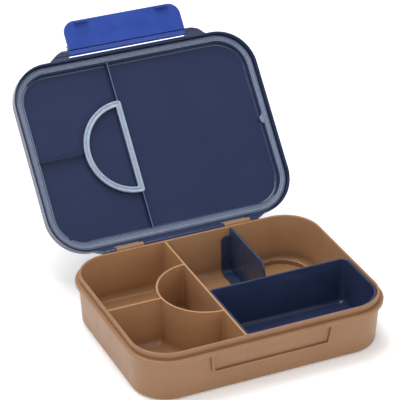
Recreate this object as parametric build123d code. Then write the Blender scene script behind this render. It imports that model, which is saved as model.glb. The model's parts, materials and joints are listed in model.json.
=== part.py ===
from build123d import *
import math
import os

os.makedirs("parts", exist_ok=True)

# Bento lunch box, open: millimetres, X to the right, Y to the back, Z up.
# The origin is the centre of the underside.  The lid, its seals and the latch are drawn
# closed on the base, with the latch straight out, and are then swung open together.

into = 0.5  # how far joined shapes run into each other
past = 2.0  # how far a cut runs past the face it opens
touch_tolerance = 0.05  # an edge this near to a wall's face lies on it

# ---- base tray, over its rim bead -----------------------------------------------------
base_width = 214.0
base_depth = 159.3
base_corner = 32.6
base_height = 43.3
floor_thickness = 2.0
floor_round = 5.5
foot_round = 3.5
outer_draft = 3.4  # degrees, wall leaning out from foot to bead
inner_draft = 2.5

bead_drop = 5.2  # lip top down to the bead's top
bead_height = 3.7
bead_reach = 3.0  # bead standing out from the wall
bead_round = 1.1
lip_inset = 3.4  # lip's outer face in from the bead's edge
lip_thickness = 1.8
lip_round = 0.5

# ---- partitions moulded into the base -------------------------------------------------
partition_drop = 0.7  # partition tops below the lip top
long_wall_x = -20.6
long_wall_thickness = 1.6
short_wall_y = -0.8
short_wall_thickness = 1.5
cup_centre_y = 0.6
cup_radius = 37.4
cup_wall = 1.5
cup_floor_round = 4.0
corner_round = 1.5  # upright inner corners

# ---- dip-pot ring on the floor of the right-hand compartment ---------------------------
ring_radius = 24.4
ring_side_gap = 5.0  # ring to the foot of the side wall
ring_rear_gap = 3.05  # ring to the foot of the rear wall
ring_wall = 1.7
ring_height = 4.0
ring_round = 0.7

# ---- raised frame on the front wall ----------------------------------------------------
frame_top_inset = 0.3  # frame's top corners in from the latch's ends
frame_bottom_inset = 2.2
frame_height = 16.7  # below the bead
frame_bar = 2.2
frame_proud = 1.9
frame_corner = 3.4
frame_round = 0.6  # outer edges of the bars

# ---- insert tray -----------------------------------------------------------------------
insert_rear_y = -4.1
insert_side_gap = 0.8  # from the outer walls
insert_long_gap = 0.5  # from the long partition
insert_floor_gap = 0.2
insert_rim_drop = 1.3
insert_wall = 1.6
insert_floor = 1.8
insert_draft = 3.6  # of its left and rear walls, degrees
insert_foot_corner = 6.5  # in plan, at the foot
insert_rear_corner = 5.5  # rear right, at the rim
insert_long_corner = 2.8  # both corners beside the long partition, at the rim
insert_floor_round = 3.8
insert_rim_round = 0.5

# ---- removable divider -----------------------------------------------------------------
divider_ring_gap = 0.9  # flange to the dip-pot ring
divider_plate = 1.6
divider_drop = 1.0
divider_front_gap = 19.4  # front edge's top behind the insert's rear rim
divider_front_lean = 22.0  # degrees, front edge reaching forward towards its foot
divider_gap = 0.35
divider_flange = 1.4
divider_flange_left = 8.7
divider_flange_right = 8.1
divider_flange_drop = 7.6
divider_flange_gap = 4.5  # flange's front behind the insert's rear rim
divider_flange_corner = 4.0

# ---- lid -------------------------------------------------------------------------------
lid_side_reach = 0.4  # lid edge past the bead at each side
lid_end_gap = 0.35  # lid edge short of the bead at front and back
lid_rim_gap = 1.65  # closed rim above the bead
lid_thickness = 10.4
lid_skin = 2.4
lid_top_round = 2.6
skirt_thickness = 1.5
channel_lip_gap = 1.7  # channel wall inside the lip, at the sides
channel_roof = 2.1  # lid left over the seal channel
channel_wall = 1.2
channel_wall_gap = 1.0  # channel wall tip above the lip top
panel_round = 2.2
rib_thickness = 0.8
rib_gap = 1.2  # rib tips above the partition tops

# ---- seals -----------------------------------------------------------------------------
seal_gap = 0.2  # seal faces above the lip top, uncompressed
seal_slack = 0.3  # seals clear of the walls they sit between
seal_face_round = 0.8
tab_y = 1.0
tab_length = 7.0
tab_reach = 3.0
tab_round = 2.7
cup_seal_width = 4.8
cup_rib = 1.6
cup_rib_bite = 2.4  # how far the cup rib enters the cup seal

# ---- lid hinge ---------------------------------------------------------------------------
hinge_radius = 3.8
hinge_clear = 0.75  # barrels behind the bead's edge
hinge_drop = 0.7  # axis below the bead's top
hinge_foot_past = 1.1  # end block's foot past the straight of the back edge
hinge_foot_slant = 9.5  # foot of an end block past its barrel
hinge_block_length = 6.3  # barrel of an end block
hinge_block_rise = 6.5  # block's height up the lid's back
hinge_shoulder = 2.3  # block's outer edge above the axis
knuckle_length = 23.4
knuckle_gap = 0.6
knuckle_bracket = 8.5  # bracket foot below the bead's top, on the wall
hinge_pin_radius = 1.5
hinge_pin_reach = 7.7  # pin past the knuckle, into the middle block
hinge_pin_end_gap = 0.6
pin_running_gap = 0.08
pin_end_play = 0.3  # hinge pin's inner end to the end of its bore
pin_press_gap = 0.02
lid_open_angle = 131.6

# ---- latch -------------------------------------------------------------------------------
latch_barrel_radius = 2.65
latch_clear = 1.4  # barrel in front of the bead's edge
latch_rise = 0.25  # pivot above the lid's rim
latch_end = 1.2  # plate past the hooks
latch_plate = 2.2
latch_face_offset = 3.4  # pivot to the plate's inner face
latch_corner = 10.0
latch_groove = 2.1  # pivot to the start of the plate
latch_web = 4.4  # web from barrel to plate, over the plate's start
latch_web_rise = 1.1  # web's back above the pivot
latch_edge_round = 0.7
hook_end_inset = 10.3  # hook in from the latch's end
hook_length = 11.2
hook_thickness = 2.0
hook_bite = 0.8  # hook under the frame's lower bar
hook_gap = 0.3
hook_round = 0.4
ear_gap = 0.5
ear_radius = 2.9
ear_length = 4.8  # full-height end of an ear
ear_slope = 6.2  # each of the two slopes from there to the foot
ear_corner_gap = 5.0  # ear's foot short of the lid's rounded corner
ear_rise = 6.0
ear_tangent = 53.0  # degrees from upright, where an ear's back leaves its round end
front_pad_reach = 0.8
front_pad_rise = 6.0
latch_pin_radius = 1.25
latch_pin_past = 0.4  # pin past the ear's full-height end, into its slope

# ---- worked-out places ---------------------------------------------------------------------
half_depth = base_depth / 2
straight_half = base_width / 2 - base_corner  # half the straight of the front and back
bead_top = base_height - bead_drop
bead_bottom = bead_top - bead_height
partition_top = base_height - partition_drop
cut_top = base_height + past
long_left = long_wall_x - long_wall_thickness / 2
long_right = long_wall_x + long_wall_thickness / 2
lid_rim_z = bead_top + lid_rim_gap
lid_top_z = lid_rim_z + lid_thickness
panel_z = lid_top_z - lid_skin
channel_roof_z = lid_top_z - channel_roof
seal_face_z = base_height + seal_gap
channel_tip_z = base_height + channel_wall_gap
lid_width = base_width + 2 * lid_side_reach
lid_depth = base_depth - 2 * lid_end_gap
channel_in = lip_inset + lip_thickness + lid_side_reach + channel_lip_gap
panel_in = channel_in + channel_wall
cup_mid_radius = cup_radius - cup_wall / 2
seal_top_z = panel_z - seal_slack

hinge_y = half_depth + hinge_clear + hinge_radius
hinge_z = bead_top - hinge_drop
hinge_axis = Axis((0, hinge_y, hinge_z), (1, 0, 0))
hinge_block_foot = straight_half + hinge_foot_past
hinge_block_end = hinge_block_foot - hinge_foot_slant
knuckle_outer = hinge_block_end - hinge_block_length - knuckle_gap
knuckle_inner = knuckle_outer - knuckle_length
hinge_pin_start = knuckle_inner - hinge_pin_reach
hinge_pin_end = hinge_block_end - hinge_pin_end_gap

ear_foot = straight_half - ear_corner_gap
ear_shoulder = ear_foot - ear_slope
ear_flat_end = ear_shoulder - ear_slope
latch_half_width = ear_flat_end - ear_length - ear_gap
latch_pivot_y = -half_depth - latch_clear - latch_barrel_radius
latch_pivot_z = lid_rim_z + latch_rise
latch_pin_end = ear_flat_end + latch_pin_past
hook_outer = latch_half_width - hook_end_inset
hook_inner = hook_outer - hook_length
frame_bottom_z = bead_bottom - frame_height
hook_reach = latch_pivot_z - frame_bottom_z + hook_gap  # pivot to the hooks' near face
latch_length = hook_reach + hook_thickness + latch_end
insert_low_z = floor_thickness + insert_floor_gap
insert_rim_z = base_height - insert_rim_drop
tall = 2 * base_height  # longer than any cut in the base needs


def rounded(width, depth, corner, inset, z):
    """A rounded rectangle drawn in by inset, at height z."""
    size = (width - 2 * inset, depth - 2 * inset)
    return Pos(0, 0, z) * RectangleRounded(*size, corner - inset)


def base_outline(inset, z):
    return rounded(base_width, base_depth, base_corner, inset, z)


def lid_outline(inset, z):
    return rounded(lid_width, lid_depth, base_corner, inset, z)


def block(x0, x1, y0, y1, z0, z1):
    """A box between two corners."""
    centre = Pos((x0 + x1) / 2, (y0 + y1) / 2, (z0 + z1) / 2)
    return centre * Box(x1 - x0, y1 - y0, z1 - z0)


def slab(sketch, height):
    return extrude(sketch, amount=height, dir=(0, 0, 1))


def lowest_edges(solid):
    return solid.edges().group_by(Axis.Z)[0]


def highest_edges(solid):
    return solid.edges().group_by(Axis.Z)[-1]


def outer_inset(z):
    """How far the outside wall stands in from the bead's edge at height z."""
    return bead_reach + (bead_bottom - z) * math.tan(math.radians(outer_draft))


def inner_inset(z):
    """How far the inside wall stands in from the bead's edge at height z."""
    lean = (base_height - z) * math.tan(math.radians(inner_draft))
    return lip_inset + lip_thickness + lean


def cavity_form(extra):
    """The inside of the base with no partitions, drawn in by extra all round."""
    low = floor_thickness + extra
    form = loft([base_outline(inner_inset(z) + extra, z) for z in (low, cut_top)])
    return fillet(lowest_edges(form), floor_round - extra)


def wall_form(proud):
    """The drafted outside of the base below the bead, standing out by proud."""
    return loft([base_outline(outer_inset(z) - proud, z) for z in (0, bead_bottom + into)])


def cup_region(radius, side_x):
    """A half disc left of side_x, its straight side upright in plan."""
    disc = Pos(long_wall_x, cup_centre_y) * Circle(radius)
    keep = Pos(side_x - radius, cup_centre_y) * Rectangle(2 * radius, 4 * radius)
    return disc & keep


def compartments():
    """The four pockets left in the base once its partitions stand."""
    plain = loft([base_outline(inner_inset(z), z) for z in (floor_thickness, cut_top)])
    cup_plan = cup_region(cup_radius - cup_wall, long_left)
    cup_pocket = slab(Pos(0, 0, floor_thickness) * cup_plan, tall)
    right = plain & block(long_right, base_width, -base_depth, base_depth, 0, tall)
    left = plain & block(-base_width, long_left, -base_depth, base_depth, 0, tall)
    left -= slab(cup_region(cup_radius, long_wall_x), tall)
    half = short_wall_thickness / 2
    rear = left & block(-base_width, 0, short_wall_y + half, base_depth, 0, tall)
    front = left & block(-base_width, 0, -base_depth, short_wall_y - half, 0, tall)
    pockets = []
    rounds = [floor_round, floor_round, floor_round, cup_floor_round]
    for pocket, bottom_round in zip((right, rear, front, cup_pocket), rounds):
        pocket = fillet(sharp_uprights(pocket), corner_round)
        pockets.append(fillet(lowest_edges(pocket), bottom_round))
    return pockets


def sharp_uprights(pocket):
    """The upright edges where a partition meets a wall or another partition."""
    found = []
    for edge in pocket.edges().filter_by(GeomType.LINE):
        run = edge.end_point() - edge.start_point()
        upright = abs(run.Z) > max(abs(run.X), abs(run.Y))
        if upright and touches_partition(edge.center()):
            found.append(edge)
    return found


def touches_partition(point):
    long_faces = (long_left, long_right)
    half = short_wall_thickness / 2
    short_faces = (short_wall_y - half, short_wall_y + half)
    return on_one(point.X, long_faces) or on_one(point.Y, short_faces)


def on_one(place, faces):
    return any(math.isclose(place, face, abs_tol=touch_tolerance) for face in faces)


def front_frame():
    """The three-sided raised frame that the latch hooks close over."""
    outside = frame_face(0, frame_corner)
    inside = frame_face(frame_bar, frame_corner - frame_bar)
    bars = extrude(Plane.XZ * (outside - inside), amount=half_depth)
    bars &= wall_form(frame_proud)
    front = bars.faces().sort_by(Axis.Y)[0]
    return fillet(front.edges(), frame_round)


def frame_face(inset, corner):
    """The tapered front face of the frame, drawn in by inset, up to the bead."""
    top = bead_bottom + into
    bottom = frame_bottom_z + inset
    half_top = latch_half_width - frame_top_inset - inset
    half_bottom = latch_half_width - frame_bottom_inset - inset
    sides = FilletPolyline(
        (-half_top, top), (-half_bottom, bottom), (half_bottom, bottom), (half_top, top),
        radius=corner,
    )
    top_line = Line((half_top, top), (-half_top, top))
    return make_face(sides.edges() + top_line.edges())


def hinge_profile(points):
    """A knuckle's end view: the barrel and the web that carries it, in the YZ plane."""
    web = Plane.YZ * polygon(points)
    barrel = Plane.YZ * (Pos(hinge_y, hinge_z) * Circle(hinge_radius))
    return web + barrel


def base_knuckle(side):
    wall_y = half_depth - bead_reach
    web = [
        (wall_y - into, bead_top),
        (hinge_y, bead_top),
        (hinge_y, hinge_z - hinge_radius),
        (wall_y - into, bead_top - knuckle_bracket),
    ]
    start = knuckle_inner if side > 0 else -knuckle_outer
    solid = extrude(hinge_profile(web), amount=knuckle_length, dir=(1, 0, 0))
    solid = Pos(start, 0, 0) * solid
    return solid - along_x(hinge_y, hinge_z, hinge_pin_radius + pin_press_gap)


def along_x(y, z, radius):
    """A long cylinder on an axis parallel to X."""
    return Pos(0, y, z) * Rot(0, 90, 0) * Cylinder(radius, 2 * base_width)


def base_tray():
    body = fillet(lowest_edges(wall_form(0)), foot_round)
    bead = slab(base_outline(0, bead_bottom), bead_height)
    body += fillet(lowest_edges(bead) + highest_edges(bead), bead_round)
    body += slab(base_outline(lip_inset, bead_bottom), base_height - bead_bottom)
    for side in (-1, 1):
        body += base_knuckle(side)
    body += front_frame()
    for pocket in compartments():
        body -= pocket
    body -= loft([base_outline(inner_inset(z), z) for z in (partition_top, cut_top)])
    body = fillet(highest_edges(body), lip_round)
    ring = Circle(ring_radius) - Circle(ring_radius - ring_wall)
    place = Pos(ring_centre_x(), ring_centre_y(), floor_thickness - into)
    ring = slab(place * ring, ring_height + into)
    return body + fillet(highest_edges(ring), ring_round)


def ring_centre_x():
    side_foot = base_width / 2 - inner_inset(floor_thickness)
    return side_foot - ring_side_gap - ring_radius


def ring_centre_y():
    rear_foot = half_depth - inner_inset(floor_thickness)
    return rear_foot - ring_rear_gap - ring_radius


def insert_outline(z, shrink):
    """The insert's plan at height z, shrunk by shrink for its inside."""
    lean = (insert_rim_z - z) * math.tan(math.radians(insert_draft))
    rise = (z - insert_low_z) / (insert_rim_z - insert_low_z)
    wall = inner_inset(z) + insert_side_gap + shrink
    left = long_right + insert_long_gap + lean + shrink
    right = base_width / 2 - wall
    front = -half_depth + wall
    rear = insert_rear_y - lean - shrink
    near, far = (insert_foot_corner * (1 - rise) + corner * rise - shrink
                 for corner in (insert_long_corner, insert_rear_corner))
    corners = [(left, rear), (right, rear), (right, front), (left, front)]
    radii = [near, far, base_corner - wall, near]
    return Pos(0, 0, z) * make_face(closed_fillets(corners, radii))


def closed_fillets(corners, radii):
    """Edges of a closed polygon with each corner rounded by its own radius."""
    return FilletPolyline(*corners, radius=radii, close=True).edges()


def insert_tray():
    outside = loft([insert_outline(z, 0) for z in (insert_low_z, insert_rim_z)])
    outside = fillet(lowest_edges(outside), insert_floor_round + insert_wall)
    floor_z = insert_low_z + insert_floor
    inside = loft([insert_outline(z, insert_wall) for z in (floor_z, insert_rim_z + past)])
    inside = fillet(lowest_edges(inside), insert_floor_round)
    tray = outside - inside
    return fillet(highest_edges(tray), insert_rim_round)


def divider():
    """An upright plate with a flange that follows the rear wall and the floor."""
    space = cavity_form(divider_gap)
    right = ring_centre_x() - ring_radius - divider_ring_gap
    plate_x = right - divider_flange_right
    left = plate_x - divider_flange_left
    front = insert_rear_y + divider_flange_gap
    plate = Pos(plate_x - divider_plate / 2, 0, 0) * divider_plate_form()
    flange = space - cavity_form(divider_gap + divider_flange)
    width = right - left
    plan_size = (width, 2 * (half_depth - front))
    plan = Pos(left + width / 2, half_depth) * RectangleRounded(*plan_size, divider_flange_corner)
    flange &= slab(plan, tall)
    high = base_height - divider_flange_drop
    face_size = (width, 2 * high)
    face_view = Pos(left + width / 2, 0) * RectangleRounded(*face_size, divider_flange_corner)
    flange &= extrude(Plane.XZ * face_view, amount=-base_depth)
    return (plate & space) + flange


def divider_plate_form():
    """The plate before it is cut to the cavity, its front edge leaning forward."""
    top = base_height - divider_drop
    lean = (top - floor_thickness) * math.tan(math.radians(divider_front_lean))
    front_top_y = insert_rear_y + divider_front_gap
    side_view = [
        (half_depth, floor_thickness),
        (half_depth, top),
        (front_top_y, top),
        (front_top_y - lean, floor_thickness),
    ]
    return extrude(Plane.YZ * polygon(side_view), amount=divider_plate, dir=(1, 0, 0))


def lid_hinge_block(start, end, foot_end):
    """A length of the lid's hinge: barrel and web, slanting out to foot_end."""
    back = lid_depth / 2
    inside = back - skirt_thickness / 2
    web_top = lid_rim_z + hinge_block_rise
    web = [
        (inside, lid_rim_z),
        (hinge_y - hinge_radius + into, hinge_z),
        (hinge_y + hinge_radius, hinge_z),
        (hinge_y + hinge_radius, hinge_z + hinge_shoulder),
        (back, web_top),
        (inside, web_top),
    ]
    solid = extrude(hinge_profile(web), amount=foot_end - start, dir=(1, 0, 0))
    plan = [
        (start, back - skirt_thickness),
        (foot_end, back - skirt_thickness),
        (foot_end, back),
        (end, hinge_y),
        (end, hinge_y + 2 * hinge_radius),
        (start, hinge_y + 2 * hinge_radius),
    ]
    return (Pos(start, 0, 0) * solid) & slab(polygon(plan), tall)


def polygon(points):
    return make_face(Polyline(*points, close=True).edges())


def latch_ear():
    """One of the two ears that carry the latch pin, at the right-hand side."""
    front = -lid_depth / 2
    inside = front + skirt_thickness / 2
    start = latch_half_width + ear_gap
    tangent = math.radians(ear_tangent)
    side_view = [
        (inside, lid_rim_z),
        (latch_pivot_y, latch_pivot_z - ear_radius),
        (latch_pivot_y - ear_radius * math.sin(tangent),
         latch_pivot_z + ear_radius * math.cos(tangent)),
        (front, lid_rim_z + ear_rise),
        (inside, lid_rim_z + ear_rise),
    ]
    web = Plane.YZ * polygon(side_view)
    end = Plane.YZ * (Pos(latch_pivot_y, latch_pivot_z) * Circle(ear_radius))
    solid = extrude(web + end, amount=ear_foot - start, dir=(1, 0, 0))
    tip = latch_pivot_y - ear_radius
    plan = [
        (start, front + skirt_thickness),
        (ear_foot, front + skirt_thickness),
        (ear_foot, front),
        (ear_shoulder, latch_pivot_y),
        (ear_flat_end, tip),
        (start, tip),
    ]
    return (Pos(start, 0, 0) * solid) & slab(polygon(plan), tall)


def cup_loop(shift):
    """The closed D over the cup wall's middle line, grown by shift."""
    region = cup_region(cup_mid_radius, long_wall_x)
    return offset(region, amount=shift, kind=Kind.ARC)


def lid_ribs():
    """Thin ribs over the partitions, up to the cup seal and the channel wall."""
    tip = partition_top + rib_gap
    top = panel_z + into
    reach = lid_depth / 2 - channel_in - channel_wall / 2
    side = lid_width / 2 - channel_in - channel_wall / 2
    clear = cup_mid_radius + cup_seal_width / 2 + seal_slack
    half = rib_thickness / 2
    x0, x1 = long_wall_x - half, long_wall_x + half
    return [
        block(x0, x1, cup_centre_y + clear, reach, tip, top),
        block(x0, x1, -reach, cup_centre_y - clear, tip, top),
        block(-side, long_wall_x - clear, short_wall_y - half, short_wall_y + half, tip, top),
    ]


def seal_tab(grow):
    """The pull tab on the perimeter seal's right-hand side, in plan."""
    edge = lid_width / 2 - channel_in + seal_slack
    size = (2 * (tab_reach + grow), tab_length + 2 * grow)
    return Pos(edge, tab_y) * RectangleRounded(*size, tab_round + grow)


def closed_lid():
    body = slab(lid_outline(0, lid_rim_z), lid_thickness)
    body = fillet(highest_edges(body), lid_top_round)
    body += block(-latch_half_width, latch_half_width, -lid_depth / 2 - front_pad_reach, 0,
                  lid_rim_z, lid_rim_z + front_pad_rise)
    ear = latch_ear()
    body += ear
    body += mirror(ear, about=Plane.YZ)
    body += hinge_blocks()
    open_z = lid_rim_z - past
    body -= slab(lid_outline(skirt_thickness, open_z), channel_tip_z - open_z)
    ring = lid_outline(skirt_thickness, channel_tip_z) - lid_outline(channel_in, channel_tip_z)
    body -= slab(ring, channel_roof_z - channel_tip_z)
    panel = slab(lid_outline(panel_in, open_z), panel_z - open_z)
    body -= fillet(highest_edges(panel), panel_round)
    body -= slab(Pos(0, 0, open_z) * seal_tab(seal_slack), panel_z - open_z)
    for rib in lid_ribs():
        body += rib
    cup_wall_ring = cup_loop(cup_rib / 2) - cup_loop(-cup_rib / 2)
    tip = seal_top_z - cup_rib_bite
    body += slab(Pos(0, 0, tip) * cup_wall_ring, panel_z + into - tip)
    bore_start = hinge_pin_start - pin_end_play
    body -= along_x(hinge_y, hinge_z, hinge_pin_radius + pin_running_gap) - block(
        -bore_start, bore_start, 0, base_depth, 0, tall
    )
    body -= along_x(latch_pivot_y, latch_pivot_z, latch_pin_radius + pin_press_gap)
    return body


def hinge_blocks():
    middle = knuckle_inner - knuckle_gap
    outer = lid_hinge_block(knuckle_outer + knuckle_gap, hinge_block_end, hinge_block_foot)
    blocks = lid_hinge_block(-middle, middle, middle) + outer
    return blocks + mirror(outer, about=Plane.YZ)


def perimeter_seal():
    outer = skirt_thickness + seal_slack
    inner = channel_in - seal_slack
    ring = lid_outline(outer, seal_face_z) - lid_outline(inner, seal_face_z)
    ring += Pos(0, 0, seal_face_z) * seal_tab(0)
    return slab(ring, seal_top_z - seal_face_z)


def cup_seal():
    half = cup_seal_width / 2
    ring = cup_loop(half) - cup_loop(-half)
    solid = slab(Pos(0, 0, seal_face_z) * ring, seal_top_z - seal_face_z)
    solid = fillet(lowest_edges(solid), seal_face_round)
    slot_half = cup_rib / 2 + seal_slack
    slot = cup_loop(slot_half) - cup_loop(-slot_half)
    start = seal_top_z - cup_rib_bite - seal_slack
    return solid - slab(Pos(0, 0, start) * slot, cup_rib_bite + past)


def latch():
    """The latch straight out from the lid: barrel, web, plate and two hooks."""
    barrel = Pos(0, latch_pivot_y, latch_pivot_z) * Rot(0, 90, 0)
    solid = barrel * Cylinder(latch_barrel_radius, 2 * latch_half_width)
    face_z = latch_pivot_z - latch_face_offset
    free_y = latch_pivot_y - latch_length
    start_y = latch_pivot_y - latch_groove
    plan = [
        (-latch_half_width, start_y),
        (latch_half_width, start_y),
        (latch_half_width, free_y),
        (-latch_half_width, free_y),
    ]
    radii = [latch_edge_round, latch_edge_round, latch_corner, latch_corner]
    plate = slab(Pos(0, 0, face_z) * make_face(closed_fillets(plan, radii)), latch_plate)
    plate = fillet(lowest_edges(plate) + highest_edges(plate), latch_edge_round)
    solid += plate
    solid += block(-latch_half_width, latch_half_width, start_y - latch_web, latch_pivot_y,
                   face_z + latch_plate - into, latch_pivot_z + latch_web_rise)
    return (solid + hooks(face_z)) - along_x(
        latch_pivot_y, latch_pivot_z, latch_pin_radius + pin_running_gap
    )


def hooks(face_z):
    """Two hooks that reach under the front frame's lower bar when the latch is shut."""
    bar_face_y = half_depth - outer_inset(frame_bottom_z) + frame_proud
    tip_drop = -latch_pivot_y - (bar_face_y - hook_bite)
    near_y = latch_pivot_y - hook_reach
    pair = []
    for side in (-1, 1):
        x0, x1 = sorted((side * hook_inner, side * hook_outer))
        hook = block(x0, x1, near_y - hook_thickness, near_y,
                     latch_pivot_z - tip_drop, face_z + into)
        pair.append(fillet(lowest_edges(hook) + hook.edges().filter_by(Axis.Z), hook_round))
    return pair


def pins():
    length = hinge_pin_end - hinge_pin_start
    middle = (hinge_pin_end + hinge_pin_start) / 2
    right = Pos(middle, hinge_y, hinge_z) * Rot(0, 90, 0) * Cylinder(hinge_pin_radius, length)
    latch_rod = Pos(0, latch_pivot_y, latch_pivot_z) * Rot(0, 90, 0)
    latch_rod *= Cylinder(latch_pin_radius, 2 * latch_pin_end)
    return mirror(right, about=Plane.YZ), right, latch_rod


def opened(solid):
    """Swing a piece drawn on the closed lid back to where the open lid stands."""
    return solid.rotate(hinge_axis, -lid_open_angle)


left_pin, right_pin, latch_rod = pins()
nodes = {
    "base_tray": base_tray(),
    "insert_tray": insert_tray(),
    "removable_divider": divider(),
    "lid": opened(closed_lid()),
    "perimeter_seal": opened(perimeter_seal()),
    "cup_seal": opened(cup_seal()),
    "latch": opened(latch()),
    "latch_pin": opened(latch_rod),
    "hinge_pin_left": left_pin,
    "hinge_pin_right": right_pin,
}
for name, solid in nodes.items():
    export_step(solid, f"parts/{name}.step")
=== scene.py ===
import json
import math

import bmesh
import bpy
import numpy as np
from mathutils import Matrix, Vector


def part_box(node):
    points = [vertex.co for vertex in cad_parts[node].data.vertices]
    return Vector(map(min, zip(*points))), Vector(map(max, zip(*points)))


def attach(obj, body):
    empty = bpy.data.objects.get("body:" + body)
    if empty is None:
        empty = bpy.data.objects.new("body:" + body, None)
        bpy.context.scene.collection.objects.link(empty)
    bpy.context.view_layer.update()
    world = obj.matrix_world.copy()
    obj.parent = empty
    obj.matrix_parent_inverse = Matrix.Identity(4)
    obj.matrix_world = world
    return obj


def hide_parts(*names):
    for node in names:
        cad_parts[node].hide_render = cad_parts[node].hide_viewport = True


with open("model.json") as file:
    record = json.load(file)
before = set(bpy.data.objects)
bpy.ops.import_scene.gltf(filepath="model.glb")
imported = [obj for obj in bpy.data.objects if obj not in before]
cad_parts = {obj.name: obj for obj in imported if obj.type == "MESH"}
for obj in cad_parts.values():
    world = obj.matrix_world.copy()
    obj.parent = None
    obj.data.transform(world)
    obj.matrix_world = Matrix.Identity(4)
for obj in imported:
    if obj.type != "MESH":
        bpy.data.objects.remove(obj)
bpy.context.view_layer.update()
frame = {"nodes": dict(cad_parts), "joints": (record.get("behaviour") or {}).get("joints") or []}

MM = 0.001

# ---- places read from the frame ------------------------------------------------------------
joints = {joint["name"]: joint for joint in frame["joints"]}
hinge = Vector(joints["lid_hinge"]["pos_m"])
open_angle = math.radians(-joints["lid_hinge"]["range_deg"][0])
base_low, base_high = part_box("base_tray")


def node_points(node):
    """The vertices of a CAD node as rows of X, Y, Z in metres."""
    mesh = frame["nodes"][node].data
    flat = np.empty(3 * len(mesh.vertices), np.float32)
    mesh.vertices.foreach_get("co", flat)
    return flat.reshape(-1, 3).astype(float)


def swing(points, angle):
    """Points turned about the lid's hinge axis: a plane rotation of Y and Z about the pin."""
    y, z = points[..., 1] - hinge.y, points[..., 2] - hinge.z
    turned = np.array(points, float)
    turned[..., 1] = hinge.y + y * math.cos(angle) - z * math.sin(angle)
    turned[..., 2] = hinge.z + y * math.sin(angle) + z * math.cos(angle)
    return turned


def closed_points(node):
    """A lid-borne node's vertices where they are with the lid shut."""
    return swing(node_points(node), open_angle)


# ---- meshes worked out as arrays -------------------------------------------------------------
def grid_mesh(name, points):
    """A closed surface from points[i, j]: both ways round the grid wrap, quads between."""
    rows, cols = points.shape[:2]
    i, j = np.meshgrid(np.arange(rows), np.arange(cols), indexing="ij")
    down, right = (i + 1) % rows, (j + 1) % cols
    quads = np.stack([i * cols + j, down * cols + j, down * cols + right, i * cols + right], -1)
    mesh = bpy.data.meshes.new(name)
    mesh.from_pydata(points.reshape(-1, 3).tolist(), [], quads.reshape(-1, 4).tolist())
    shape = bmesh.new()
    shape.from_mesh(mesh)
    bmesh.ops.remove_doubles(shape, verts=shape.verts, dist=0.002 * MM)
    bmesh.ops.recalc_face_normals(shape, faces=shape.faces)
    shape.to_mesh(mesh)
    shape.free()
    mesh.polygons.foreach_set("use_smooth", np.ones(len(mesh.polygons), bool))
    piece = bpy.data.objects.new(name, mesh)
    bpy.context.scene.collection.objects.link(piece)
    return piece


def soft_step(value, start, end):
    """0 before start, 1 after end, and the cubic 3t^2 - 2t^3 between."""
    t = np.clip((value - start) / (end - start), 0.0, 1.0)
    return t * t * (3 - 2 * t)


def round_over(across, width, radius):
    """How far a rounded face drops near both its edges: the height lost on a circle of radius."""
    edge = np.clip(np.minimum(across, width - across), 0.0, radius)
    return radius - np.sqrt(np.maximum(radius**2 - (radius - edge) ** 2, 0.0))


def rounded_rectangle(half_width, half_depth, corner, per_corner, per_side):
    """A closed path round a rounded rectangle, with its outward normals: four straights, each
    followed by a quarter circle."""
    places, normals = [], []
    centre_x, centre_y = half_width - corner, half_depth - corner
    turns = np.linspace(0, math.pi / 2, per_corner)
    starts = [(1, 1, 0.0), (-1, 1, 0.5), (-1, -1, 1.0), (1, -1, 1.5)]
    for side_x, side_y, start in starts:
        angles = start * math.pi + turns
        normal = np.stack([np.cos(angles), np.sin(angles)], -1)
        places.append(np.array([side_x * centre_x, side_y * centre_y]) + corner * normal)
        normals.append(normal)
    path, outward = [], []
    for here, facing, after in zip(places, normals, places[1:] + places[:1]):
        share = np.linspace(0, 1, per_side + 2)[1:-1, None]
        path += [here, here[-1] * (1 - share) + after[0] * share]
        outward += [facing, np.repeat(facing[-1:], per_side, 0)]
    return np.concatenate(path), np.concatenate(outward)


# ---- perimeter seal ---------------------------------------------------------------------------
seal_corner_points = 40
seal_side_points = 60
seal_face_points = 40
seal_width = 5.2 * MM
seal_corner = 30.8 * MM
seal_tab_y = 1.0 * MM
seal_tab_half = 3.5 * MM
seal_tab_reach = 3.0 * MM
seal_slope_width = 2.5 * MM
seal_slope_drop = 1.1 * MM
seal_groove_place = 3.75 * MM
seal_groove_half = 0.35 * MM
seal_groove_depth = 0.65 * MM
seal_inner_drop = 0.25 * MM
seal_edge_round = 0.6 * MM


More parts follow.
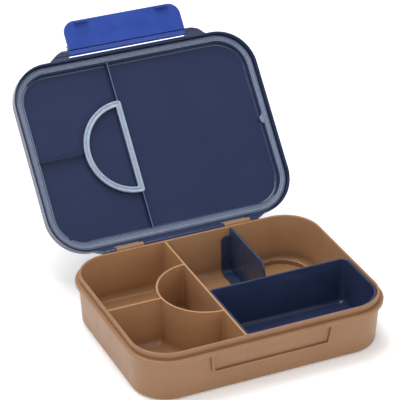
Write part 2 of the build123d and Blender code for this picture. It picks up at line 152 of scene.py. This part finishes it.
def perimeter_seal():
    """The seal's ring: at each place of a rounded-rectangle path, a profile of a flat back and a
    face that rises by a cubic step from its outer edge to a ridge, then drops in a Gaussian
    groove before a second, lower ridge.  Beside the tab the inner ridge is stretched inwards by
    a superellipse of the tab's length."""
    points = closed_points("perimeter_seal")
    (half_width, half_depth, back_z), face_z = points.max(0), points[:, 2].min()
    path, outward = rounded_rectangle(
        half_width, half_depth, seal_corner, seal_corner_points, seal_side_points)
    across = np.linspace(0, seal_width, seal_face_points)
    groove = np.exp(-((across - seal_groove_place) / seal_groove_half) ** 2)
    slope = 1 - soft_step(across, -seal_slope_width / 2, seal_slope_width)
    inner = soft_step(across, seal_groove_place, seal_groove_place + seal_groove_half)
    face = face_z + round_over(across, seal_width, seal_edge_round)
    face += seal_groove_depth * groove + seal_slope_drop * slope + seal_inner_drop * inner
    inset = np.concatenate([across, across[::-1]])
    height = np.concatenate([face, np.full(seal_face_points, back_z)])
    beside = np.abs(path[:, 1] - seal_tab_y) / seal_tab_half
    bulge = seal_tab_reach * np.clip(1 - beside**4, 0, 1) ** 0.5 * (outward[:, 0] > 0.999)
    inner_share = soft_step(inset, seal_groove_place, seal_width)
    reach = inset[None, :] + bulge[:, None] * inner_share[None, :]
    flat = path[:, None, :] - outward[:, None, :] * reach[..., None]
    upright = np.broadcast_to(height[None, :, None], (*reach.shape, 1))
    ring = np.concatenate([flat, upright], -1)
    return grid_mesh("perimeter_seal_ring", swing(ring, -open_angle))


# ---- cup seal ---------------------------------------------------------------------------------
cup_arc_points = 90
cup_straight_points = 40
cup_corner_points = 12
cup_face_points = 31
cup_seal_width = 4.8 * MM
cup_groove_half = 0.75 * MM
cup_groove_depth = 0.7 * MM
cup_edge_round = 0.55 * MM
cup_slot_half = 1.1 * MM
cup_slot_depth = 2.7 * MM


def d_loop(radius, offset):
    """Places round a D grown by offset: an arc, a corner, a straight and a corner.  Outside the
    middle line a corner is an arc of radius offset, and inside it the arc and the straight meet
    in a point where the arc's height over the straight equals the offset."""
    inward = np.maximum(-offset, 0.0)
    outside = np.maximum(offset, 0.0)
    reach = radius + offset
    end_angle = np.arccos(np.clip(inward / reach, 0, 1))
    half_straight = np.sqrt(reach**2 - inward**2) * (inward > 0) + radius * (inward <= 0)
    share = np.linspace(-1, 1, cup_arc_points)[:, None]
    angle = share * end_angle
    arc = np.stack([-reach * np.cos(angle), -reach * np.sin(angle)], -1)
    share = np.linspace(-1, 1, cup_straight_points)[:, None]
    sideways = np.broadcast_to(offset, (cup_straight_points, offset.shape[1]))
    straight = np.stack([sideways, share * half_straight], -1)
    turn = np.linspace(0, math.pi / 2, cup_corner_points)[:, None]
    low = np.stack([-inward + outside * np.sin(turn),
                    -half_straight - outside * np.cos(turn)], -1)
    high = np.stack([-inward + outside * np.cos(turn),
                     half_straight + outside * np.sin(turn)], -1)
    return np.concatenate([arc, low, straight, high])


def cup_seal():
    """The D-shaped seal: a profile whose face has a rounded rim on each side of a Gaussian
    valley, and a slot in its back, carried round a D whose straight is its right-hand side."""
    points = closed_points("cup_seal")
    (right_x, rear_y, back_z), face_z = points.max(0), points[:, 2].min()
    front_y = points[:, 1].min()
    half = cup_seal_width / 2
    radius = (rear_y - front_y) / 2 - half
    across = np.linspace(-half, half, cup_face_points)
    face = face_z + round_over(across + half, cup_seal_width, cup_edge_round)
    face += cup_groove_depth * np.exp(-((across / cup_groove_half) ** 2))
    slot_z = back_z - cup_slot_depth
    slot = [cup_slot_half, cup_slot_half, -cup_slot_half, -cup_slot_half]
    offset = np.concatenate([across, [half], slot, [-half]])
    height = np.concatenate([face, [back_z, back_z, slot_z, slot_z, back_z, back_z]])
    flat = d_loop(radius, offset[None, :]) + [right_x - half, (rear_y + front_y) / 2]
    upright = np.broadcast_to(height[None, :, None], (*flat.shape[:2], 1))
    ring = np.concatenate([flat, upright], -1)
    return grid_mesh("cup_seal_ring", swing(ring, -open_angle))


# ---- materials ---------------------------------------------------------------------------------
def closed_mapping():
    """Rotation and shift that bring a lid-borne point back to where it is with the lid shut."""
    turn = Matrix.Rotation(open_angle, 4, "X")
    shift = hinge - turn @ hinge
    return (open_angle, 0.0, 0.0), tuple(shift)


class Finish:
    """One material's node tree, built a node at a time round its surface shader."""

    def __init__(self, name, shut=False):
        self.material = bpy.data.materials.new(name)
        self.material.use_nodes = True
        self.tree = self.material.node_tree
        self.surface = self.tree.nodes["Principled BSDF"]
        self.place = self.add("ShaderNodeTexCoord").outputs["Object"]
        if shut:
            rotation, shift = closed_mapping()
            mapping = self.add("ShaderNodeMapping", Vector=self.place)
            mapping.inputs["Rotation"].default_value = rotation
            mapping.inputs["Location"].default_value = shift
            self.place = mapping.outputs["Vector"]
        split = self.add("ShaderNodeSeparateXYZ", Vector=self.place)
        self.x, self.y, self.z = (split.outputs[axis] for axis in "XYZ")

    def add(self, kind, settings=None, **inputs):
        """A new node with its settings and its sockets set or linked."""
        node = self.tree.nodes.new(kind)
        for name, value in (settings or {}).items():
            setattr(node, name, value)
        for name, value in inputs.items():
            socket = node.inputs[name.replace("_", " ")]
            self.feed(socket, value)
        return node

    def feed(self, socket, value):
        if isinstance(value, bpy.types.NodeSocket):
            self.tree.links.new(value, socket)
        else:
            socket.default_value = value

    def sum(self, operation, *values):
        """A chain-able number: the operation on one, two or three values."""
        node = self.add("ShaderNodeMath", {"operation": operation})
        for socket, value in zip(node.inputs, values):
            self.feed(socket, value)
        return node.outputs[0]

    def near(self, value, place, reach):
        """1 where value is at place, fading to 0 at reach from it."""
        away = self.sum("ABSOLUTE", self.sum("SUBTRACT", value, place))
        return self.ramp(away, reach, 0.0)

    def ramp(self, value, start, end):
        """0 at start, 1 at end, smooth between, held outside."""
        node = self.add("ShaderNodeMapRange", {"interpolation_type": "SMOOTHSTEP"},
                        Value=value, From_Min=min(start, end), From_Max=max(start, end))
        node.inputs["To Min"].default_value = 0.0 if start < end else 1.0
        node.inputs["To Max"].default_value = 1.0 if start < end else 0.0
        return node.outputs["Result"]

    def noise(self, size, detail=3.0, stretch=None):
        """Cloudy noise with features about size metres across."""
        place = self.place
        if stretch:
            place = self.add("ShaderNodeMapping", Vector=place, Scale=stretch).outputs["Vector"]
        node = self.add("ShaderNodeTexNoise", Vector=place, Scale=1 / size, Detail=detail)
        return node.outputs["Fac"]

    def spread(self, value, low, high):
        """Noise of about 0.3 to 0.7 turned into low to high."""
        node = self.add("ShaderNodeMapRange", Value=value, From_Min=0.3, From_Max=0.7,
                        To_Min=low, To_Max=high)
        return node.outputs["Result"]

    def blend(self, share, first, second):
        node = self.add("ShaderNodeMix", {"data_type": "RGBA"})
        self.feed(node.inputs["Factor"], share)
        self.feed(node.inputs[6], first)
        self.feed(node.inputs[7], second)
        return node.outputs[2]

    def bump(self, height, distance, strength, under=None):
        node = self.add("ShaderNodeBump", Height=height, Distance=distance, Strength=strength)
        if under is not None:
            self.feed(node.inputs["Normal"], under)
        return node.outputs["Normal"]

    def finish(self, **inputs):
        for name, value in inputs.items():
            self.feed(self.surface.inputs[name.replace("_", " ")], value)
        return self.material


def colour(red, green, blue):
    """An sRGB colour of 0 to 255 as the linear colour a shader takes."""
    share = np.array([red, green, blue]) / 255
    linear = np.where(share <= 0.04045, share / 12.92, ((share + 0.055) / 1.055) ** 2.4)
    return (*linear.tolist(), 1.0)


def moulded_grain(finish, grain_strength, wave_strength):
    """The fine spark-eroded grain of a mould over the slow waves of a cooled wall."""
    waves = finish.bump(finish.noise(18 * MM, 2.0), 0.4 * MM, wave_strength)
    return finish.bump(finish.noise(0.45 * MM, 2.0), 0.03 * MM, grain_strength, waves)


def base_plastic():
    """Caramel polypropylene, a touch translucent: satin outside and polished inside. The inside is
    painted lighter, a lit copy of the outside colour, and painted shade darkens it towards the
    compartment floors and in the crevice between bead and lip; faint sink lines run outside where
    the partitions meet the outer wall."""
    finish = Finish("caramel_polypropylene")
    cloud = finish.spread(finish.noise(26 * MM), 0.0, 1.0)
    outer = finish.blend(cloud, colour(139, 101, 69), colour(145, 106, 73))
    # painted light: the inside tone is a lighter, lit copy of the outside tone
    inner = finish.blend(cloud, colour(168, 128, 93), colour(175, 134, 98))
    inside = inside_walls(finish)
    # painted shade: the inner walls darken towards the compartment floors
    painted_shade = finish.sum("MULTIPLY", finish.ramp(finish.z, painted_shade_top, floor_top), painted_shade_share)
    inner = finish.blend(painted_shade, inner, colour(104, 68, 42))
    tone = finish.blend(inside, outer, inner)
    # painted shade in the crevice between bead and lip
    tone = finish.blend(finish.sum("MULTIPLY", crevice_shade_mask(finish), 0.5), tone, colour(112, 76, 50))
    sink = sink_lines(finish)
    tone = finish.blend(finish.sum("MULTIPLY", sink, 0.35), tone, colour(110, 78, 55))
    normal = moulded_grain(finish, 0.25, 0.12)
    normal = finish.bump(finish.sum("SUBTRACT", 1.0, sink), 0.15 * MM, 0.5, normal)
    satin = finish.spread(finish.noise(9 * MM), 0.36, 0.46)
    rough = finish.sum("SUBTRACT", satin, finish.sum("MULTIPLY", inside, 0.23))
    return finish.finish(Base_Color=tone, Roughness=rough, Normal=normal,
                         Subsurface_Weight=0.12, Subsurface_Scale=1.5 * MM,
                         Subsurface_Radius=(1.0, 0.6, 0.4), IOR=1.49)


outside_depth = 5.1 * MM  # the outer face is never further in from the bead's edge than this
short_partition_y = -0.8 * MM
long_partition_x = -20.6 * MM
sink_half = 0.55 * MM


base_corner = 32.6 * MM  # in plan, over the bead
floor_top = 1.9 * MM  # just under the compartment floors
painted_shade_top = 16.0 * MM  # painted shade darkens the inner walls from here down
# strength of the painted shade at the compartment floors
painted_shade_share = 0.35
lip_depth = 3.9 * MM  # just inside the lip's outer face
crevice_low = 38.2 * MM
crevice_middle = 39.4 * MM
crevice_high = 41.6 * MM


def within(finish, depth):
    """1 further in than depth from the bead's edge, a rounded rectangle: outside its corner
    centres the distance to the edge is the corner less the root of the squares of both
    overhangs."""
    across = finish.sum("SUBTRACT", finish.sum("ABSOLUTE", finish.x), base_high.x - base_corner)
    along = finish.sum("SUBTRACT", finish.sum("ABSOLUTE", finish.y), -base_low.y - base_corner)
    out_x, out_y = finish.sum("MAXIMUM", across, 0.0), finish.sum("MAXIMUM", along, 0.0)
    overhang = finish.sum("SQRT", finish.sum("ADD", finish.sum("MULTIPLY", out_x, out_x),
                                             finish.sum("MULTIPLY", out_y, out_y)))
    return finish.sum("LESS_THAN", overhang, base_corner - depth)


def inside_walls(finish):
    """1 on the tray's inner faces."""
    over = finish.sum("GREATER_THAN", finish.z, floor_top)
    return finish.sum("MULTIPLY", over, within(finish, outside_depth))


def crevice_shade_mask(finish):
    """1 low on the lip's outer face, where it meets the bead, fading upwards: the mask of the
    painted crevice shade.
    """
    band = finish.sum("MULTIPLY", finish.ramp(finish.z, crevice_low, crevice_middle),
                      finish.ramp(finish.z, crevice_high, crevice_middle))
    return finish.sum("MULTIPLY", band, finish.sum("SUBTRACT", 1.0, within(finish, lip_depth)))


def sink_lines(finish):
    """1 on three thin upright lines outside: left of the short partition, and at both ends of
    the long one."""
    left = finish.sum("LESS_THAN", finish.x, base_low.x + outside_depth)
    front = finish.sum("LESS_THAN", finish.y, base_low.y + outside_depth)
    rear_edge = -base_low.y - outside_depth
    rear = finish.sum("GREATER_THAN", finish.y, rear_edge)
    ends = finish.sum("MAXIMUM", front, rear)
    on_left = finish.sum("MULTIPLY", left, finish.near(finish.y, short_partition_y, sink_half))
    on_ends = finish.sum("MULTIPLY", ends, finish.near(finish.x, long_partition_x, sink_half))
    return finish.sum("MAXIMUM", on_left, on_ends)


def navy_gloss(name, dark, light, rough_low, rough_high):
    """Glossy navy moulding with faint streaks where the melt flowed."""
    finish = Finish(name)
    flow = finish.spread(finish.noise(22 * MM, 4.0, (1.0, 2.6, 1.0)), 0.0, 1.0)
    tone = finish.blend(flow, dark, light)
    rough = finish.spread(finish.noise(12 * MM), rough_low, rough_high)
    return finish.finish(Base_Color=tone, Roughness=rough, IOR=1.5,
                         Normal=moulded_grain(finish, 0.04, 0.04))


lid_tip_height = 44.3 * MM  # channel wall's tip, lid shut
rib_tip_height = 43.8 * MM  # long rib's tip
tip_reach = 0.25 * MM
rib_half = 1.0 * MM
lit_left = -92.0 * MM  # the channel wall's tip gets a painted highlight left of here
lit_rear = 66.0 * MM  # and behind here
cup_centre = (-20.6 * MM, 0.6 * MM)
cup_sink_radius = 44.0 * MM
lid_skin_middle = 49.0 * MM  # between the lid's inner panel and its top, lid shut


def lid_plastic():
    """Semi-gloss navy moulding with a painted highlight along the tips of the long rib and of the
    seal channel's left and rear walls, with a sunk ring round the cup seal and faint flow marks."""
    finish = Finish("navy_lid_moulding", shut=True)
    flow = finish.spread(finish.noise(34 * MM, 5.0, (1.0, 1.8, 1.0)), 0.0, 1.0)
    tone = finish.blend(flow, colour(29, 41, 73), colour(32, 43, 76))
    wall_tip_highlight = finish.sum("MULTIPLY", finish.near(finish.z, lid_tip_height, tip_reach),
                          finish.sum("MAXIMUM", finish.sum("LESS_THAN", finish.x, lit_left),
                                     finish.sum("GREATER_THAN", finish.y, lit_rear)))
    rib_tip_highlight = finish.sum("MULTIPLY", finish.near(finish.z, rib_tip_height, tip_reach),
                         finish.near(finish.x, long_partition_x, rib_half))
    painted_tip_highlights = finish.sum("MAXIMUM", wall_tip_highlight, rib_tip_highlight)
    # painted highlight: paler colour along the rib and channel-wall tips
    tone = finish.blend(finish.sum("MULTIPLY", painted_tip_highlights, 0.6), tone, colour(118, 130, 158))
    across = finish.sum("SUBTRACT", finish.x, cup_centre[0])
    along = finish.sum("SUBTRACT", finish.y, cup_centre[1])
    radius = finish.sum("SQRT", finish.sum("ADD", finish.sum("MULTIPLY", across, across),
                                           finish.sum("MULTIPLY", along, along)))
    ring = finish.near(radius, cup_sink_radius, 3.5 * MM)
    left = finish.ramp(across, 6 * MM, -6 * MM)
    under = finish.sum("LESS_THAN", finish.z, lid_skin_middle)
    ring = finish.sum("MULTIPLY", finish.sum("MULTIPLY", ring, left), under)
    normal = moulded_grain(finish, 0.05, 0.05)
    normal = finish.bump(ring, 0.25 * MM, 0.4, normal)
    rough = finish.spread(finish.noise(30 * MM, 2.0), 0.23, 0.27)
    return finish.finish(Base_Color=tone, Roughness=rough, Normal=normal, IOR=1.5)


def latch_plastic():
    finish = Finish("blue_latch_moulding", shut=True)
    flow = finish.spread(finish.noise(20 * MM, 4.0, (1.0, 2.2, 1.0)), 0.0, 1.0)
    tone = finish.blend(flow, colour(29, 58, 138), colour(36, 65, 147))
    rough = finish.spread(finish.noise(8 * MM), 0.28, 0.38)
    return finish.finish(Base_Color=tone, Roughness=rough, IOR=1.5,
                         Normal=moulded_grain(finish, 0.06, 0.12))


# heights over which painted shade darkens the seals' sides
seal_root_low = 43.9 * MM
seal_root_high = 44.9 * MM


def silicone(name, dark, light, root_shade):
    """Pale silicone: soft, slightly translucent, with a dusty bloom, and its sides darkened
    towards the lid by painted shade."""
    finish = Finish(name, shut=True)
    bloom = finish.spread(finish.noise(3 * MM, 5.0), 0.0, 1.0)
    tone = finish.blend(bloom, dark, light)
    # painted shade: the seal darkens towards its root at the lid
    painted_shade = finish.ramp(finish.z, seal_root_low, seal_root_high)
    tone = finish.blend(finish.sum("MULTIPLY", painted_shade, root_shade), tone, colour(62, 76, 106))
    rough = finish.spread(finish.noise(2 * MM), 0.38, 0.5)
    return finish.finish(Base_Color=tone, Roughness=rough, IOR=1.42,
                         Subsurface_Weight=0.35, Subsurface_Scale=2 * MM,
                         Subsurface_Radius=(0.8, 0.9, 1.0),
                         Normal=finish.bump(finish.noise(0.8 * MM), 0.02 * MM, 0.3))


def pin_steel():
    """Drawn stainless rod, its fine lines running along the pin."""
    finish = Finish("drawn_steel")
    lines = finish.noise(0.4 * MM, 3.0, (0.02, 1.0, 1.0))
    tone = finish.blend(finish.spread(lines, 0.0, 1.0), colour(176, 178, 182),
                        colour(206, 207, 210))
    return finish.finish(Base_Color=tone, Metallic=1.0, Roughness=finish.spread(lines, 0.22, 0.36),
                         Normal=finish.bump(lines, 0.01 * MM, 0.3))


def wear(piece, material):
    piece.data.materials.clear()
    piece.data.materials.append(material)


def finish_nodes():
    """Each CAD node's own finish."""
    caramel, steel, lid = base_plastic(), pin_steel(), lid_plastic()
    finishes = {
        "base_tray": caramel,
        "insert_tray": navy_gloss("navy_insert_moulding", colour(42, 52, 81),
                                  colour(49, 59, 90), 0.06, 0.12),
        "removable_divider": navy_gloss("navy_divider_moulding", colour(43, 56, 84),
                                        colour(50, 64, 92), 0.2, 0.3),
        "lid": lid,
        "latch": latch_plastic(),
        "latch_pin": steel,
        "hinge_pin_left": steel,
        "hinge_pin_right": steel,
    }
    for node, material in finishes.items():
        wear(frame["nodes"][node], material)


def add_seals():
    for piece, node, material in (
        (perimeter_seal(), "perimeter_seal",
         silicone("perimeter_silicone", colour(108, 119, 140), colour(121, 131, 151), 0.55)),
        (cup_seal(), "cup_seal",
         silicone("cup_silicone", colour(142, 156, 176), colour(153, 167, 185), 0.8)),
    ):
        wear(piece, material)
        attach(piece, node)
        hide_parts(node)


# ---- floor, light and camera -------------------------------------------------------------------
floor_half = 4.0
floor_glow = 0.2
camera_azimuth = math.radians(-25.03)
camera_elevation = math.radians(29.61)
camera_roll = math.radians(0.45)
camera_distance = 1.6776
camera_target = Vector((0.86, 55.31, 86.20)) * MM
camera_lens = 191.93
camera_near = 0.01
sensor = 36.0  # lens and sensor in millimetres, as on a camera


def pale_floor():
    """A flat square floor under the box."""
    corners = [(-floor_half, -floor_half, 0), (floor_half, -floor_half, 0),
               (floor_half, floor_half, 0), (-floor_half, floor_half, 0)]
    mesh = bpy.data.meshes.new("floor")
    mesh.from_pydata(corners, [], [(0, 1, 2, 3)])
    floor = bpy.data.objects.new("floor", mesh)
    bpy.context.scene.collection.objects.link(floor)
    finish = Finish("pale_paper")
    tone = finish.blend(finish.noise(0.2), colour(246, 246, 246), colour(249, 249, 249))
    wear(floor, finish.finish(Base_Color=tone, Roughness=0.9, Specular_IOR_Level=0.1,
                              Emission_Color=tone, Emission_Strength=floor_glow))


fall_low = 0.05  # the surround starts to darken at this height of a unit direction
fall_high = 0.65
overhead_strength = 0.35
lamps = (  # azimuth and elevation in degrees, distance and width in metres, power in watts
    ("overhead_softbox", 200, 72, 1.5, 1.2, 25),
    ("small_key_lamp", -15, 66, 1.5, 0.14, 2.4),
    ("small_side_lamp", -70, 52, 1.5, 0.12, 1.0),
    ("left_softbox", -75, 35, 1.6, 0.8, 1.8),
    ("front_softbox", 10, 18, 1.8, 0.9, 5),
)


def studio():
    """A white surround that darkens overhead, and the lights that shape the box."""
    world = bpy.data.worlds.new("studio")
    bpy.context.scene.world = world
    world.use_nodes = True
    tree = world.node_tree
    back = tree.nodes["Background"]
    direction = tree.nodes.new("ShaderNodeTexCoord")
    split = tree.nodes.new("ShaderNodeSeparateXYZ")
    fall = tree.nodes.new("ShaderNodeMapRange")
    fall.interpolation_type = "SMOOTHSTEP"
    for name, value in (("From Min", fall_low), ("From Max", fall_high), ("To Min", 1.0),
                        ("To Max", overhead_strength)):
        fall.inputs[name].default_value = value
    tree.links.new(direction.outputs["Generated"], split.inputs[0])
    tree.links.new(split.outputs["Z"], fall.inputs["Value"])
    tree.links.new(fall.outputs["Result"], back.inputs["Strength"])
    back.inputs["Color"].default_value = (1, 1, 1, 1)
    for name, azimuth, elevation, distance, width, power in lamps:
        softbox(name, math.radians(azimuth), math.radians(elevation), distance, width, power)


def ray(azimuth, elevation):
    """The unit direction from the box out to that azimuth and elevation."""
    return Vector((math.sin(azimuth) * math.cos(elevation),
                   -math.cos(azimuth) * math.cos(elevation), math.sin(elevation)))


def softbox(name, azimuth, elevation, distance, width, power):
    """A square area light aimed at the middle of the box."""
    light = bpy.data.lights.new(name, "AREA")
    light.size, light.energy = width, power
    lamp = bpy.data.objects.new(name, light)
    bpy.context.scene.collection.objects.link(lamp)
    back = ray(azimuth, elevation)
    lamp.location = camera_target + back * distance
    lamp.rotation_mode = "QUATERNION"
    lamp.rotation_quaternion = back.to_track_quat("Z", "Y")


def long_lens_camera():
    back = ray(camera_azimuth, camera_elevation)
    right = Vector((math.cos(camera_azimuth), math.sin(camera_azimuth), 0))
    up = back.cross(right)
    cos, sin = math.cos(camera_roll), math.sin(camera_roll)
    columns = (right * cos + up * sin, up * cos - right * sin, back)
    data = bpy.data.cameras.new("camera")
    data.lens, data.sensor_width, data.clip_start = camera_lens, sensor, camera_near
    camera = bpy.data.objects.new("camera", data)
    bpy.context.scene.collection.objects.link(camera)
    placed = Matrix(columns).transposed().to_4x4()
    placed.translation = camera_target + back * camera_distance
    camera.matrix_world = placed
    bpy.context.scene.camera = camera


finish_nodes()
add_seals()
pale_floor()
studio()
long_lens_camera()
bpy.context.scene.view_settings.view_transform = "Standard"
